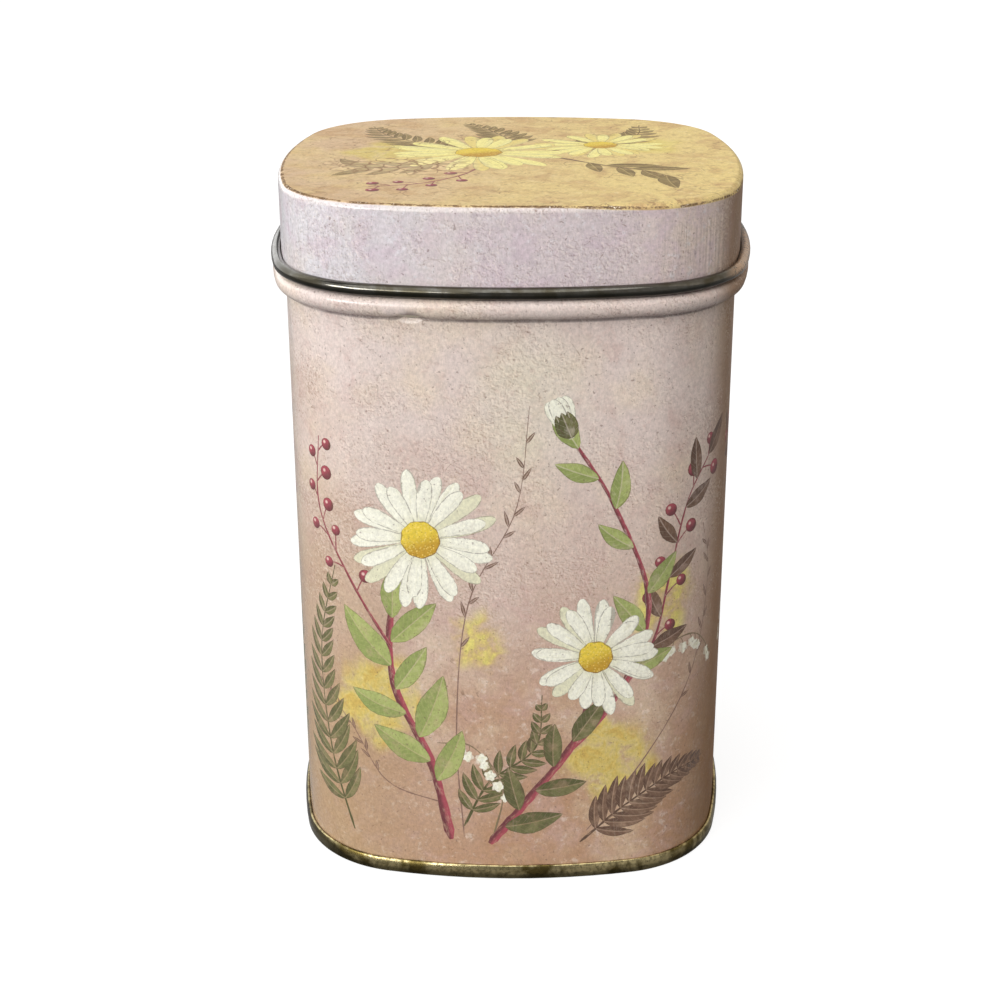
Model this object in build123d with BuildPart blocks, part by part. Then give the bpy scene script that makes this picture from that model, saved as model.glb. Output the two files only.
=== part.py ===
from build123d import *
from math import atan, atan2, degrees, radians, sin, sqrt
import os

# Square keepsake tin with bowed sides, made of thin tinned steel sheet.
# A slip-on lid pushes down over the neck of the body, and the bottom end is
# double seamed to the body. Millimetres, +Z up, origin on the floor under
# the middle of the tin.

# Outline of the body wall seen from above, at its outer face
body_width = 69.0  # from one bowed side to the opposite one
side_radius = 90.0  # bow of each side
corner_radius = 17.5

# Sheet and clearances
plate = 0.23  # thickness of the sheet
seam_gap = 0.02  # between the layers of the double seam
lid_clearance = 0.27  # between the lid's skirt and the neck it slides over
lid_rest_gap = 0.07  # between the lid's panel and the mouth it rests on

# Body
body_height = 106.2  # floor to the top of the rolled mouth
mouth_curl_radius = 0.74  # outer face of the roll, which turns inwards
mouth_curl_angle = 285
bead_height = 3.3  # stop bead below the lid's curl, from its foot up to its level shoulder
bead_depth = 1.85  # how far the bead stands out from the wall
bead_crown_radius = 1.2  # round between the bead's side and its shoulder
bead_root_radius = 0.3  # hollow where the bead leaves the wall
bead_gap = 0.15  # from the underside of the lid's curl down to the bead

# Lock seam up the middle of the back
lock_width = 4.5
lock_layers = 4  # sheets in the lock, the wall among them
lock_margin = 2.0  # plain lap left above the double seam and below the bead
groove_width = 0.35  # line where the outer sheet folds under
groove_depth = 0.09

# Lid
lid_depth = 12.8  # top face to the underside of the curl
lid_edge_radius = 1.0  # round the top
lid_curl_radius = 0.885  # outer face of the roll, which turns outwards
lid_curl_angle = 300

# Bottom end and its double seam
seam_height = 2.3
seam_floor_radius = 0.15  # inside the fold, on both sides of the ring that it stands on
base_recess = 3.2  # floor to the underside of the bottom panel
base_panel_radius = 0.8  # where the upright wall turns into the panel

# Width of the formed edge that runs into a flat panel
panel_margin = 2.5

# Places of the seam's layers, measured out from the wall's outer face
layer_step = plate + seam_gap
chuck_place = -layer_step
cover_place = layer_step
hook_place = cover_place + seam_gap
seam_place = hook_place + layer_step
fold_radius = hook_place / 2

# Heights
body_fold_height = plate + seam_gap + plate + fold_radius
cover_fold_height = seam_height - plate - fold_radius
lid_top = body_height + lid_rest_gap + plate
lid_curl_height = lid_top - lid_depth + lid_curl_radius
bead_top = lid_top - lid_depth - bead_gap
bead_bottom = bead_top - bead_height

# The outline is eight tangent arcs: a bowed side and a corner, four times
side_setback = side_radius - body_width / 2
centre_distance = side_radius - corner_radius
corner_place = (sqrt(2 * centre_distance**2 - side_setback**2) - side_setback) / 2
side_half = degrees(atan2(corner_place, corner_place + side_setback))
outline_arcs = []
for quarter in (0, 90, 180, 270):
    side_centre = Vector(-side_setback, 0).rotate(Axis.Z, quarter)
    corner_centre = Vector(corner_place, corner_place).rotate(Axis.Z, quarter)
    outline_arcs.append((side_centre, side_radius, quarter - side_half, 2 * side_half))
    outline_arcs.append((corner_centre, corner_radius, quarter + side_half, 90 - 2 * side_half))
back_centre = Vector(0, -side_setback)


def outline(height, place):
    """The tin's outline at this height, moved out from the wall's outer face by place."""
    with BuildSketch(Plane.XY.offset(height)) as shape:
        with BuildLine():
            for centre, radius, start, turn in outline_arcs:
                CenterArc(centre, radius + place, start, turn)
        make_face()
    return shape.sketch


def form(section, centre, radius, start, turn, mode=Mode.ADD):
    """Turn a section about an upright axis. Its X is measured out from the wall's outer face."""
    outwards = Vector(1, 0, 0).rotate(Axis.Z, start)
    standing = Plane(centre + outwards * radius, outwards, outwards.cross(Vector(0, 0, 1)))
    with BuildSketch(standing) as placed:
        add(section)
    revolve(placed.sketch, Axis(centre, (0, 0, 1)), turn, mode=mode)


def form_round(section):
    """Carry a section all the way round the outline, arc by arc."""
    for arc in outline_arcs:
        form(section, *arc)


def back_strip(low, high, width, mode=Mode.ADD):
    """A strip of the back wall, between two corners of its section, from one edge of the lock."""
    with BuildSketch() as section:
        with Locations(low):
            Rectangle(high[0] - low[0], high[1] - low[1], align=Align.MIN)
    start = 90 - degrees(lock_width / side_radius) / 2
    form(section.sketch, back_centre, side_radius, start, degrees(width / side_radius), mode)


# Body: hook of the double seam, wall, stop bead, neck and rolled mouth.
# Each section is one face of the sheet, drawn in order, then thickened.
# The bead swells out from its foot in one long arc, turns in to a level
# shoulder under the lid's curl, and runs up into the neck.
bead_side_height = bead_height - bead_crown_radius
bead_slope = degrees(2 * atan(bead_depth / bead_side_height))
bead_side_radius = bead_side_height / sin(radians(bead_slope)) - bead_root_radius

with BuildSketch() as body_section:
    with BuildLine():
        hook = Line((hook_place, cover_fold_height), (hook_place, body_fold_height))
        fold = JernArc(hook @ 1, hook % 1, fold_radius, -180)
        wall = Line(fold @ 1, (0, bead_bottom))
        bead_foot = JernArc(wall @ 1, wall % 1, bead_root_radius, -bead_slope)
        bead_side = JernArc(bead_foot @ 1, bead_foot % 1, bead_side_radius, bead_slope)
        bead_crown = JernArc(bead_side @ 1, bead_side % 1, bead_crown_radius, 90)
        bead_head = JernArc(bead_crown @ 1, bead_crown % 1, bead_depth - bead_crown_radius, -90)
        neck = Line(bead_head @ 1, (0, body_height - mouth_curl_radius))
        JernArc(neck @ 1, neck % 1, mouth_curl_radius, mouth_curl_angle)
        offset(amount=plate, side=Side.LEFT)
    make_face()

with BuildPart() as body:
    form_round(body_section.sketch)
    lock_low = (-lock_layers * plate, seam_height + lock_margin)
    back_strip(lock_low, (-plate / 2, bead_bottom - lock_margin), lock_width)
    groove_low = (-groove_depth, seam_height)
    back_strip(groove_low, (groove_depth, bead_bottom), groove_width, Mode.SUBTRACT)
body.part.label = "body"

# Base: cover hook, seam wall, standing ring, chuck wall and recessed panel
with BuildSketch() as base_section:
    with BuildLine():
        cover = Line((cover_place, body_fold_height), (cover_place, cover_fold_height))
        cover_fold = JernArc(cover @ 1, cover % 1, fold_radius, -180)
        outer = Line(cover_fold @ 1, (seam_place, plate + seam_floor_radius))
        outer_turn = JernArc(outer @ 1, outer % 1, seam_floor_radius, -90)
        ring = Line(outer_turn @ 1, (chuck_place + seam_floor_radius, plate))
        inner_turn = JernArc(ring @ 1, ring % 1, seam_floor_radius, -90)
        panel_top = base_recess + plate
        chuck = Line(inner_turn @ 1, (chuck_place, panel_top - base_panel_radius))
        panel_turn = JernArc(chuck @ 1, chuck % 1, base_panel_radius, 90)
        panel_place = chuck_place - base_panel_radius
        Line(panel_turn @ 1, (panel_place - panel_margin, panel_top))
        offset(amount=plate, side=Side.LEFT)
    make_face()

with BuildPart() as base:
    form_round(base_section.sketch)
    extrude(outline(base_recess, panel_place - panel_margin / 2), plate)
base.part.label = "base"

# Lid: flat panel, rounded edge, skirt and rolled lower edge
with BuildSketch() as lid_section:
    with BuildLine():
        shoulder_radius = lid_edge_radius - plate
        shoulder_place = lid_clearance - shoulder_radius
        panel_under = lid_top - plate
        rim = Line((shoulder_place - panel_margin, panel_under), (shoulder_place, panel_under))
        shoulder = JernArc(rim @ 1, rim % 1, shoulder_radius, -90)
        skirt = Line(shoulder @ 1, (lid_clearance, lid_curl_height))
        offset(amount=plate, side=Side.LEFT)
    make_face()
    with BuildLine():
        JernArc(skirt @ 1, skirt % 1, lid_curl_radius, lid_curl_angle)
        offset(amount=plate, side=Side.LEFT)
    make_face()

with BuildPart() as lid:
    form_round(lid_section.sketch)
    extrude(outline(panel_under, shoulder_place - panel_margin / 2), plate)
lid.part.label = "lid"

os.makedirs("parts", exist_ok=True)
export_step(body.part, "parts/body.step")
export_step(base.part, "parts/base.step")
export_step(lid.part, "parts/lid.step")
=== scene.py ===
import math
import random

import bmesh
import bpy
import numpy as np
from mathutils import Matrix
from mathutils.geometry import delaunay_2d_cdt


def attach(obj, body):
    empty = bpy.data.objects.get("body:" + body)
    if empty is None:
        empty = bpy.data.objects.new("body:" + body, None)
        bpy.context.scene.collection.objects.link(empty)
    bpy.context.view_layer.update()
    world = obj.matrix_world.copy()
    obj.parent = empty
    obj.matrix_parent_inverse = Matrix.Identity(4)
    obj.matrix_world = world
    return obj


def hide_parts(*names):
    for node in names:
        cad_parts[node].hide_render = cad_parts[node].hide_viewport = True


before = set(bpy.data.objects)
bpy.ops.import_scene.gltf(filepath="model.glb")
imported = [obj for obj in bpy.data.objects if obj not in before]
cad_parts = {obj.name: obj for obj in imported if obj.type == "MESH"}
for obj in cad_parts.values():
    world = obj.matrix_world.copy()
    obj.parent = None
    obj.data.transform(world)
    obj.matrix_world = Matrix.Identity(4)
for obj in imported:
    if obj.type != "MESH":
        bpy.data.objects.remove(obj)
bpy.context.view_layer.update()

# Sizes in mm, the same as in the part's source
MM = 0.001
body_width = 69.0
side_radius = 90.0
corner_radius = 17.5
plate = 0.23
seam_gap = 0.02
lid_clearance = 0.27
lid_rest_gap = 0.07
body_height = 106.2
mouth_curl_radius = 0.74
mouth_curl_angle = 285
bead_height = 3.3
bead_depth = 1.85
bead_crown_radius = 1.2
bead_root_radius = 0.3
bead_gap = 0.15
lock_width = 4.5
lock_layers = 4
lock_margin = 2.0
groove_width = 0.35
groove_depth = 0.09
lid_depth = 12.8
lid_edge_radius = 1.0
lid_curl_radius = 0.885
lid_curl_angle = 300
seam_height = 2.3
seam_floor_radius = 0.15
base_recess = 3.2
base_panel_radius = 0.8

# The meshes: the parts of half a bowed side, the flat rim of a panel, the grid inside that
# rim and how far it and the motifs stay from it, the width that a panel's square of the
# texture map covers, and how near points are joined
half_side_parts = 6
panel_margin = 2.5
panel_grid = np.linspace(-27, 27, 10)
grid_margin = 3.0
motif_margin = 0.3
panel_map_width = 66.0
joining_distance = 0.0005

# The seam's outer face leans in a little towards its top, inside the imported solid:
# a bend, a long arc and the round of the top, with the lean in degrees where each ends
seam_bend_radius = 1.0
seam_bend = 15
seam_crown_radius = 3.7
seam_lean = 24

layer_step = plate + seam_gap
chuck_place = -layer_step
hook_place = plate + 2 * seam_gap
seam_place = hook_place + layer_step
fold_radius = hook_place / 2
body_fold_height = 2 * plate + seam_gap + fold_radius
cover_fold_height = seam_height - plate - fold_radius
lid_top = body_height + lid_rest_gap + plate
lid_curl_height = lid_top - lid_depth + lid_curl_radius
bead_top = lid_top - lid_depth - bead_gap
bead_bottom = bead_top - bead_height
bead_side_height = bead_height - bead_crown_radius
bead_slope = math.degrees(2 * math.atan(bead_depth / bead_side_height))
bead_side_radius = bead_side_height / math.sin(math.radians(bead_slope)) - bead_root_radius
neck_root_radius = bead_depth - bead_crown_radius
shoulder_radius = lid_edge_radius - plate
shoulder_place = lid_clearance - shoulder_radius
panel_under = lid_top - plate

# The outline is eight tangent arcs: a bowed side and a corner, four times
side_setback = side_radius - body_width / 2
centre_distance = side_radius - corner_radius
corner_place = (math.sqrt(2 * centre_distance**2 - side_setback**2) - side_setback) / 2
side_half = math.atan2(corner_place, corner_place + side_setback)
side_length = 2 * side_half * side_radius
corner_length = (math.pi / 2 - 2 * side_half) * corner_radius
quarter_length = side_length + corner_length
perimeter = 4 * quarter_length


def outline_at(along, place):
    """Points of the outline and its outward directions.

    along is the length walked round the wall from the middle of the back, anticlockwise
    from above, and place is how far out from the wall's outer face the point lies.
    """
    quarter = np.floor(along / quarter_length + 0.5)
    local = along - quarter * quarter_length
    past_side = np.abs(local) - side_length / 2
    on_side = past_side <= 0
    turn = np.where(on_side, np.abs(local) / side_radius, side_half + past_side / corner_radius)
    radius = np.where(on_side, side_radius, corner_radius) + place
    out = np.where(on_side, -side_setback, corner_place) + radius * np.cos(turn)
    across = np.where(on_side, 0, corner_place) + radius * np.sin(turn)
    across = across * np.sign(local)
    heading = (1 + quarter) * math.pi / 2
    x = out * np.cos(heading) - across * np.sin(heading)
    y = out * np.sin(heading) + across * np.cos(heading)
    facing = heading + np.sign(local) * turn
    return x, y, np.cos(facing), np.sin(facing)


def past_corner(points):
    """How far points of a panel lie beyond the centres of its corners, at most."""
    return np.hypot(*np.maximum(np.abs(np.transpose(points)) - corner_place, 0)).max()


def column_places(corner_parts, extra=()):
    """Places round the outline where the mesh has an upright line of edges."""
    side_end = side_length / 2
    corner_end = side_end + corner_length
    quarter = [
        *np.linspace(0, side_end, half_side_parts, endpoint=False),
        *np.linspace(side_end, corner_end, corner_parts, endpoint=False),
        *np.linspace(corner_end, quarter_length, half_side_parts, endpoint=False),
    ]
    places = [start * quarter_length + place for start in range(4) for place in quarter]
    return np.unique(np.round([*places, perimeter, *extra], 7))


def walk(start, heading, moves):
    """Samples along a section: place, height, heading and length walked.

    A move is (length, parts) for a straight run, or (radius, turn, parts) for an arc.
    """
    place, height = start
    heading = math.radians(heading)
    walked = 0.0
    samples = [(place, height, heading, walked)]
    for *shape, parts in moves:
        for _ in range(parts):
            if len(shape) == 1:
                step = shape[0] / parts
                place += step * math.cos(heading)
                height += step * math.sin(heading)
                walked += step
            else:
                radius, turn = shape
                side = math.copysign(radius, turn)
                step = math.radians(turn) / parts
                place += side * (math.sin(heading + step) - math.sin(heading))
                height -= side * (math.cos(heading + step) - math.cos(heading))
                heading += step
                walked += abs(radius * step)
            samples.append((place, height, heading, walked))
    return np.array(samples).T


def no_dent(along, walked):
    """A surface with no dents."""
    return np.zeros(np.broadcast(along, walked).shape)


def surface(section, along, face, dent=no_dent):
    """Points and normals of one face of the sheet, 1 for the left of its section and -1 for the right.

    section holds place, height, heading and length walked, each the shape of along.
    """
    place, height, heading, walked = section
    left = (plate if face > 0 else 0) + dent(along, walked)
    step = 0.01
    rise = (dent(along, walked + step) - dent(along, walked - step)) / (2 * step)
    drift = (dent(along + step, walked) - dent(along - step, walked)) / (2 * step)
    sine, cosine = np.sin(heading), np.cos(heading)
    x, y, out_x, out_y = outline_at(along, place - left * sine)
    points = np.stack([x, y, height + left * cosine], -1)
    left_way = np.stack([-sine * out_x, -sine * out_y, cosine], -1)
    on_way = np.stack([cosine * out_x, cosine * out_y, sine], -1)
    round_way = np.stack([-out_y, out_x, np.zeros_like(out_x)], -1)
    normals = face * (left_way - rise[..., None] * on_way - drift[..., None] * round_way)
    return points, normals / np.linalg.norm(normals, axis=-1, keepdims=True)


def grid_faces(rows, columns, flip):
    """Four-sided faces of a grid, by their points' numbers."""
    row, column = np.meshgrid(np.arange(rows - 1), np.arange(columns - 1), indexing="ij")
    first = (row * columns + column).ravel()
    faces = np.stack([first, first + 1, first + columns + 1, first + columns], -1)
    return faces[:, ::-1] if flip else faces


def link(name, data):
    """Add an object to the scene."""
    added = bpy.data.objects.new(name, data)
    bpy.context.scene.collection.objects.link(added)
    return added


class Shell:
    """The faces of one piece, gathered before its mesh is made."""

    sizes = {"normal": 3, "uv": 2, "place": 3, "ink": 3, "ink_two": 3, "seed": 1, "wear": 1}

    def __init__(self, columns):
        self.columns = columns
        self.points = []
        self.faces = []
        self.kinds = []
        self.corners = {name: [] for name in self.sizes}
        self.count = 0

    def add(self, points, faces, kinds, **corners):
        """Faces by their points' numbers, with a kind each and a value for each corner."""
        self.points.append(points)
        self.faces.extend((faces + self.count).tolist())
        self.kinds.extend(kinds)
        self.count += len(points)
        for name, size in self.sizes.items():
            values = corners.get(name, np.zeros(faces.size * size))
            self.corners[name].append(np.reshape(values, (faces.size, size)))

    def band(self, section, first, last, face, kind, uv, dent=no_dent, wear=no_dent):
        """One face of the sheet between two samples of its section, all the way round."""
        along = np.broadcast_to(self.columns, (last + 1 - first, len(self.columns)))
        parts = [np.broadcast_to(values[first : last + 1, None], along.shape) for values in section]
        points, normals = surface(parts, along, face, dent)
        faces = grid_faces(*along.shape, face > 0)
        flat = faces.ravel()
        places = np.stack([along / perimeter, uv[0] + parts[3] * uv[1]], -1)
        self.add(
            points.reshape(-1, 3),
            faces,
            [kind] * len(faces),
            normal=normals.reshape(-1, 3)[flat],
            uv=places.reshape(-1, 2)[flat],
            wear=wear(along, parts[3]).ravel()[flat],
        )

    def cut_edge(self, section, sample, kind, uv_height):
        """The cut edge of the sheet at the first or last sample of its section."""
        count = len(self.columns)
        parts = [np.full(count, values[sample]) for values in section]
        right, _ = surface(parts, self.columns, -1)
        left, _ = surface(parts, self.columns, 1)
        _, _, out_x, out_y = outline_at(self.columns, 0)
        end = 1 if sample else -1
        out = end * math.cos(section[2][sample])
        up = end * math.sin(section[2][sample])
        normal = np.stack([out * out_x, out * out_y, np.full(count, up)], -1)
        faces = grid_faces(2, count, end < 0)
        flat = faces.ravel()
        heights = np.repeat([uv_height, uv_height + 0.001], count)
        places = np.stack([np.tile(self.columns, 2) / perimeter, heights], -1)
        points = np.concatenate([right, left])
        kinds = [kind] * len(faces)
        self.add(points, faces, kinds, normal=np.tile(normal, (2, 1))[flat], uv=places[flat])

    def panel(self, rim_place, face, kind, height, uv_start, uv_size, drawing):
        """One face of a flat panel, cut along its motifs."""
        rim_x, rim_y, _, _ = outline_at(self.columns[:-1], rim_place)
        rim = list(zip(rim_x, rim_y))
        grid_reach = corner_radius - panel_margin - grid_margin
        grid = [(x, y) for x in panel_grid for y in panel_grid if past_corner((x, y)) < grid_reach]
        reach = corner_radius + rim_place - motif_margin
        drawing.keep(lambda p: past_corner(p) < reach)
        loop = [(i, (i + 1) % len(rim)) for i in range(len(rim))]
        cut, faces, kinds, values = lay_print(rim + grid, loop, drawing, kind)
        if face < 0:
            faces = faces[:, ::-1]
        flat = faces.ravel()
        self.add(
            np.column_stack([cut, np.full(len(cut), height)]),
            faces,
            kinds,
            normal=np.tile((0, 0, face), (len(flat), 1)),
            uv=np.array(uv_start) + (cut[flat] / panel_map_width + 0.5) * uv_size,
            **values,
        )

    def make(self, name, materials):
        """Make the piece, with its points joined where its parts meet."""
        order = list(materials)
        mesh = bpy.data.meshes.new(name)
        mesh.from_pydata((np.concatenate(self.points) * MM).tolist(), [], self.faces)
        mesh.polygons.foreach_set("material_index", [order.index(kind) for kind in self.kinds])
        for key, kept in self.corners.items():
            values = np.concatenate(kept).astype(np.float32).ravel()
            if key == "uv":
                mesh.uv_layers.new(name="OFBake").uv.foreach_set("vector", values)
            elif self.sizes[key] == 1:
                mesh.attributes.new(key, "FLOAT", "CORNER").data.foreach_set("value", values)
            else:
                mesh.attributes.new(key, "FLOAT_VECTOR", "CORNER").data.foreach_set("vector", values)
        joined = bmesh.new()
        joined.from_mesh(mesh)
        bmesh.ops.remove_doubles(joined, verts=joined.verts, dist=joining_distance * MM)
        joined.to_mesh(mesh)
        joined.free()
        facing = mesh.attributes["normal"]
        normals = np.zeros(len(mesh.loops) * 3, np.float32)
        facing.data.foreach_get("vector", normals)
        mesh.attributes.remove(facing)
        mesh.shade_smooth()
        mesh.normals_split_custom_set(normals.reshape(-1, 3))
        for material in materials.values():
            mesh.materials.append(material)
        return link(name, mesh)


# Inks of the printed decoration, as they show on a screen, from 0 to 255
INK = {
    "cream": (240, 238, 222),
    "cream_shade": (222, 219, 190),
    "lemon": (240, 230, 150),
    "lemon_shade": (228, 208, 128),
    "yellow": (226, 198, 72),
    "ochre": (192, 150, 52),
    "wash": (224, 214, 112),
    "wash_ochre": (202, 172, 84),
    "lime": (172, 180, 112),
    "lime_dark": (134, 146, 84),
    "olive": (120, 118, 78),
    "olive_dark": (84, 84, 54),
    "brown": (128, 100, 82),
    "brown_dark": (92, 70, 58),
    "crimson": (164, 78, 88),
    "crimson_dark": (112, 62, 66),
    "pencil": (132, 104, 92),
    "tan_leaf": (150, 130, 82),
    "tan_leaf_dark": (118, 98, 60),
}


def srgb(colour):
    """The linear colour of one written as it shows on a screen."""
    shares = [value / 255 for value in colour]
    return [v / 12.92 if v <= 0.04045 else ((v + 0.055) / 1.055) ** 2.4 for v in shares]


class Motif:
    """A flat printed shape on the unrolled sheet, in mm: a blade along a line, or a spot round a point."""

    def __init__(self, kind, line, widths, inks, seed):
        self.kind = kind
        self.line = np.asarray(line, float)
        self.widths = np.asarray(widths, float)
        self.inks = [srgb(INK[ink]) for ink in inks]
        self.seed = seed

    def outline(self):
        """Corners of the shape in order."""
        if len(self.line) == 1:
            turns = np.linspace(0, 2 * math.pi, len(self.widths), endpoint=False)
            return self.line[0] + self.widths[:, None] * np.stack([np.cos(turns), np.sin(turns)], -1)
        ways = np.gradient(self.line, axis=0)
        ways /= np.linalg.norm(ways, axis=1)[:, None]
        sides = np.stack([-ways[:, 1], ways[:, 0]], -1) * self.widths[:, None]
        start = 1 if self.widths[0] < 0.01 else 0
        end = len(self.line) - 1 if self.widths[-1] < 0.01 else len(self.line)
        return np.concatenate([self.line - sides, (self.line + sides)[start:end][::-1]])

    def places(self, points):
        """Along, across and distance from the edge at each point."""
        if len(self.line) == 1:
            offset = points - self.line[0]
            turns = np.arctan2(offset[:, 1], offset[:, 0]) % (2 * math.pi)
            steps = np.linspace(0, 2 * math.pi, len(self.widths) + 1)
            reach = np.interp(turns, steps, np.append(self.widths, self.widths[0]))
            edge = np.maximum(reach - np.hypot(offset[:, 0], offset[:, 1]), 0)
            return np.column_stack([offset, edge])
        runs = np.diff(self.line, axis=0)
        lengths = np.linalg.norm(runs, axis=1)
        walked = np.concatenate([[0], np.cumsum(lengths)])
        offset = points[:, None] - self.line[None, :-1]
        share = np.clip((offset * runs).sum(-1) / lengths**2, 0, 1)
        away = offset - share[..., None] * runs
        distance = np.linalg.norm(away, axis=-1)
        nearest = distance.argmin(1)
        rows = np.arange(len(points))
        run = runs[nearest]
        apart = away[rows, nearest]
        side = np.sign(run[:, 0] * apart[:, 1] - run[:, 1] * apart[:, 0])
        along = walked[nearest] + share[rows, nearest] * lengths[nearest]
        across = side * distance[rows, nearest]
        reach = np.interp(along, walked, self.widths)
        return np.column_stack([along, across, np.maximum(reach - np.abs(across), 0)])


def bent_line(start, angle, length, bend, shares):
    """A line that leaves start at an angle in degrees and turns by bend over its length."""
    fine = np.linspace(0, 1, 60)
    heading = np.radians(angle + bend * fine)
    steps = np.stack([np.cos(heading), np.sin(heading)], -1) * length / (len(fine) - 1)
    walked = np.concatenate([[[0, 0]], np.cumsum(steps[:-1], axis=0)])
    return np.stack([np.interp(shares, fine, walked[:, i]) + start[i] for i in (0, 1)], -1)


def smooth_line(points, count):
    """A smooth line through given points."""
    points = np.asarray(points, float)
    ends = np.concatenate([[2 * points[0] - points[1]], points, [2 * points[-1] - points[-2]]])
    position = np.linspace(0, len(points) - 1.000001, count)
    whole = position.astype(int)
    t = (position - whole)[:, None]
    before, here, there, after = (ends[whole + i] for i in range(4))
    return (
        (2 * t**3 - 3 * t**2 + 1) * here
        + (t**3 - 2 * t**2 + t) * (there - before) / 2
        + (3 * t**2 - 2 * t**3) * there
        + (t**3 - t**2) * (after - here) / 2
    )


def heading_at(line, spot):
    """The heading of a line in degrees from one of its points."""
    way = line[spot + 1] - line[spot]
    return math.degrees(math.atan2(way[1], way[0]))


class Drawing:
    """Motifs in painting order, with a random source of its own."""

    def __init__(self, seed):
        self.motifs = []
        self.dice = random.Random(seed)

    def put(self, kind, line, widths, inks):
        self.motifs.append(Motif(kind, line, widths, inks, self.dice.random()))

    def keep(self, test):
        """Keep the motifs whose outline passes the test."""
        self.motifs = [motif for motif in self.motifs if test(motif.outline())]

    def stem(self, points, start_width, end_width, inks=("crimson", "crimson_dark")):
        """A stem through given points, tapering to its end, with a slanting cut at its foot."""
        count = 7 * len(points)
        line = smooth_line(points, count)
        share = np.linspace(0, 1, count)
        ripple = 1 + 0.1 * np.sin(share * 31 + self.dice.uniform(0, 6)) + 0.07 * np.sin(share * 77)
        widths = (start_width + (end_width - start_width) * share) * ripple / 2
        widths[0] *= 0.45
        self.put("stem", line, widths, inks)
        return line

    def grass(self, points, seeds, size):
        """A faint stalk with narrow seeds up both sides."""
        line = self.stem(points, 0.28, 0.14, ("pencil", "pencil"))
        for i in range(seeds):
            spot = int((0.45 + 0.54 * i / seeds) * (len(line) - 2))
            side = 1 if i % 2 else -1
            angle = heading_at(line, spot) + side * self.dice.uniform(22, 38)
            length = size * self.dice.uniform(0.8, 1.2)
            self.leaf(line[spot], angle, length, size * 0.24, 0, ("pencil", "brown"))

    def leaf(self, start, angle, length, width, bend, inks):
        """A pointed leaf with its base at start."""
        shares = (1 - np.cos(np.linspace(0, math.pi, 12))) / 2
        widths = width / 2 * np.sin(math.pi * shares**0.82) ** 0.86
        widths *= 1 + 0.05 * np.sin(shares * 37 + self.dice.uniform(0, 6))
        widths[0] = widths[-1] = 0
        self.put("leaf", bent_line(start, angle, length, bend, shares), widths, inks)

    def petal(self, start, angle, length, width, bend, inks):
        """A long petal with a narrow base and a round end."""
        shares = np.sin(np.linspace(0, math.pi / 2, 11))
        rise = 0.34 + 0.66 * np.sin(np.minimum(shares / 0.72, 1) * math.pi / 2)
        fall = np.sqrt(np.clip(1 - (np.maximum(shares - 0.72, 0) / 0.28) ** 2, 0, 1))
        widths = width / 2 * rise * fall
        widths[-1] = 0
        self.put("petal", bent_line(start, angle, length, bend, shares), widths, inks)

    def spot(self, kind, centre, radius, inks, corners, lobes=0, depth=0.0):
        """A round or lobed spot with so many corners."""
        turns = np.linspace(0, 2 * math.pi, corners, endpoint=False)
        widths = radius * (1 + depth * np.cos(lobes * turns + self.dice.uniform(0, 6)))
        self.put(kind, [centre], widths, inks)

    def daisy(self, centre, radius, petals, squash, tilt, inks=("cream", "cream_shade")):
        """A flower of long petals in two rings round a domed centre, seen partly from the side."""
        centre = np.asarray(centre, float)
        turn = math.radians(tilt)
        tilted = np.array([[math.cos(turn), -math.sin(turn)], [math.sin(turn), math.cos(turn)]])
        base = 0.16 * radius
        for ring in (0, 1):
            count = petals - 3 * ring
            start = self.dice.uniform(0, 360)
            for i in range(count):
                spoke = math.radians(start + 360 * i / count + self.dice.uniform(-6, 6))
                flat = np.array([math.cos(spoke), squash * math.sin(spoke)])
                shrink = np.linalg.norm(flat)
                way = tilted @ flat
                heading = math.degrees(math.atan2(way[1], way[0]))
                reach = radius * (0.9 if ring else 1.0) * self.dice.uniform(0.9, 1.0)
                width = radius * 2.9 / petals * (0.55 + 0.45 * squash / shrink)
                ink = inks[0] if ring else inks[self.dice.random() < 0.4]
                bend = self.dice.uniform(-14, 14)
                length = (reach - base) * shrink
                self.petal(centre + way * base, heading, length, width, bend, (ink, inks[1]))
        self.spot("disc", centre, 0.25 * radius * (0.7 + 0.3 * squash), ("yellow", "ochre"), 40, 9, 0.025)

    def bud(self, start, angle, size):
        """A closed daisy bud in its green cup."""
        inks = ("cream", "cream_shade")
        for side in (-16, 15, -5, 6):
            self.petal(start, angle + side, size * 1.25, size * 0.42, -side / 2, inks)
        for side in (-24, 24, 0):
            self.leaf(start, angle + side, size * 0.8, size * 0.42, -side, ("olive", "olive_dark"))

    def fern(self, points, reach, pairs, inks=("olive", "olive_dark")):
        """A frond: narrow leaflets in pairs along a curved stalk, shorter towards the tip."""
        line = self.stem(points, 0.5, 0.2, (inks[1], inks[1]))
        for i in range(pairs):
            share = 0.12 + 0.86 * i / pairs
            spot, past = divmod(share * (len(line) - 1), 1)
            spot = int(spot)
            here = line[spot] + (line[spot + 1] - line[spot]) * past
            grow = min(1, 0.45 + share * 3) * (1 - share) ** 0.7 + 0.06
            for side in (-1, 1):
                length = reach * grow * self.dice.uniform(0.9, 1.05)
                angle = heading_at(line, spot) + side * (62 - 18 * share) + self.dice.uniform(-4, 4)
                self.leaf(here, angle, length, 0.9 + 0.14 * length, -side * 22, inks)

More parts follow.
